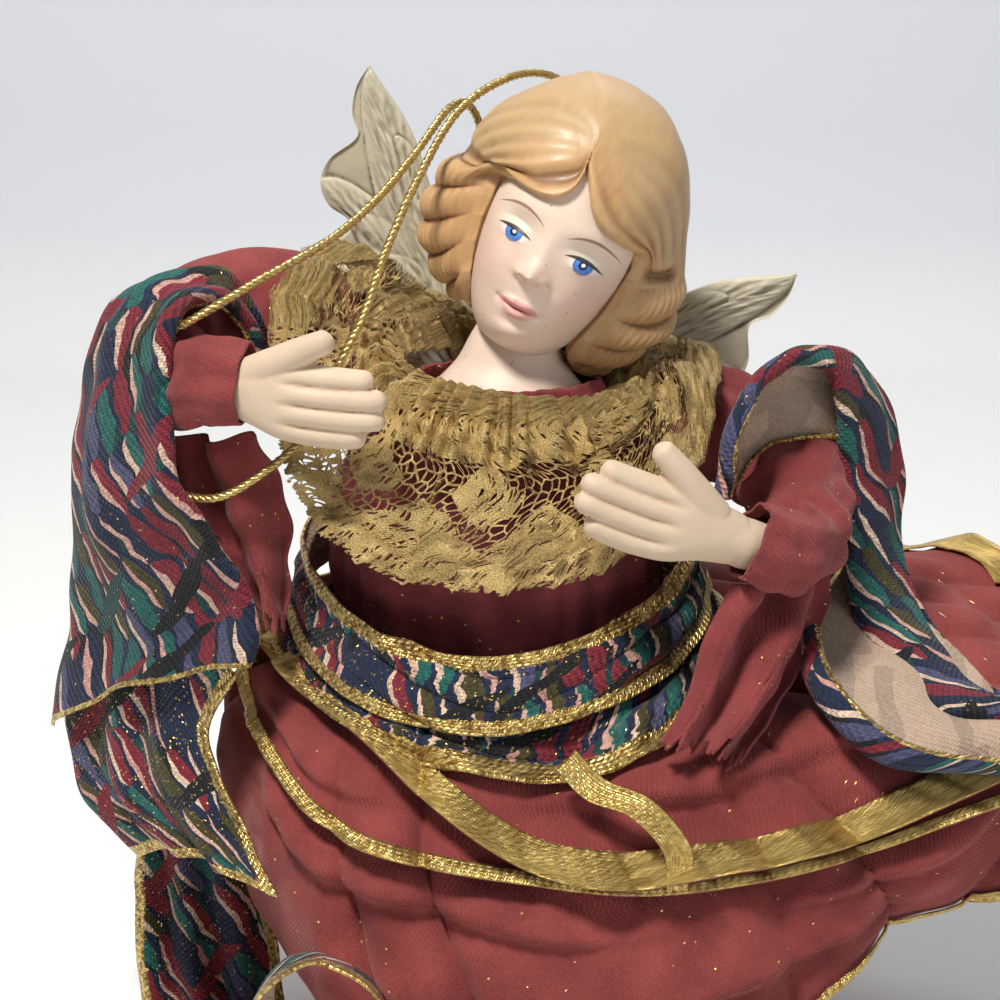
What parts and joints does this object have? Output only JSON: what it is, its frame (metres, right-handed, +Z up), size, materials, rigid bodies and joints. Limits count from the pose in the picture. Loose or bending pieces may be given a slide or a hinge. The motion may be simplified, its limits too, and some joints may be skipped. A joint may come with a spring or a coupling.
{
  "type": "angel tree topper",
  "caption": "Cloth-dressed angel figure on a hollow cone that slips over a tree tip, with cast head, hands and wings, ribbon shawls, lace collar and a hanging cord.",
  "frame": {"origin": "centre of the cone mouth, on the plane the topper stands on", "axes": "+Z up along the cone, -Y the way the figure faces, +X the way the skirt sweeps"},
  "size_m": [0.1855, 0.1026, 0.1677],
  "materials": {
    "card": "plain card",
    "wadding": "pressed wadding",
    "dowel_wood": "bare turned wood",
    "wire_steel": "bare wire",
    "painted_face": "painted casting, satin",
    "ivory_cast": "painted casting, matte",
    "wing_cast": "antiqued casting",
    "bodice_cloth": "dark cloth with fine sheen",
    "dress_cloth": "dull burgundy weave with gold flecks",
    "print_ribbon": "printed tapestry ribbon, gold wired edge",
    "gold_trim": "metallic gold ribbon",
    "gold_lace": "metallic gold net lace",
    "gold_cord": "twisted metallic gold cord"
  },
  "bodies": {
    "figure": {"tree_cone": "card", "body_padding": "wadding", "neck_dowel": "dowel_wood", "head": "painted_face", "right_arm_wire": "wire_steel", "left_arm_wire": "wire_steel", "bodice": "bodice_cloth", "right_sleeve": "dress_cloth", "left_sleeve": "dress_cloth", "right_sleeve_drape": "dress_cloth", "left_sleeve_drape": "dress_cloth", "underskirt": "dress_cloth", "middle_tier": "dress_cloth", "upper_tier": "dress_cloth", "underskirt_trim": "gold_trim", "middle_tier_trim": "gold_trim", "upper_tier_band": "gold_trim", "lower_sash": "print_ribbon", "upper_sash": "print_ribbon", "gold_streamer": "gold_trim", "right_shawl": "print_ribbon", "right_shawl_tail": "print_ribbon", "right_shawl_curl": "print_ribbon", "left_shawl": "print_ribbon", "lace_collar": "gold_lace", "right_wing": "wing_cast", "left_wing": "wing_cast", "right_wing_wire": "wire_steel", "left_wing_wire": "wire_steel", "hanging_cord": "gold_cord", "cord_knot": "gold_cord"},
    "right_hand": {"right_hand": "ivory_cast"},
    "left_hand": {"left_hand": "ivory_cast"}
  },
  "joints": [
    {"name": "right_hand_twist", "type": "hinge", "parent": "figure", "child": "right_hand", "pos_m": [-0.0412, -0.0275, 0.1238], "axis": [0.9567, -0.2869, -0.049], "range_deg": [-20, 20]},
    {"name": "left_hand_twist", "type": "hinge", "parent": "figure", "child": "left_hand", "pos_m": [0.035, -0.0315, 0.1012], "axis": [-0.8906, -0.2239, 0.3958], "range_deg": [-20, 20]}
  ]
}
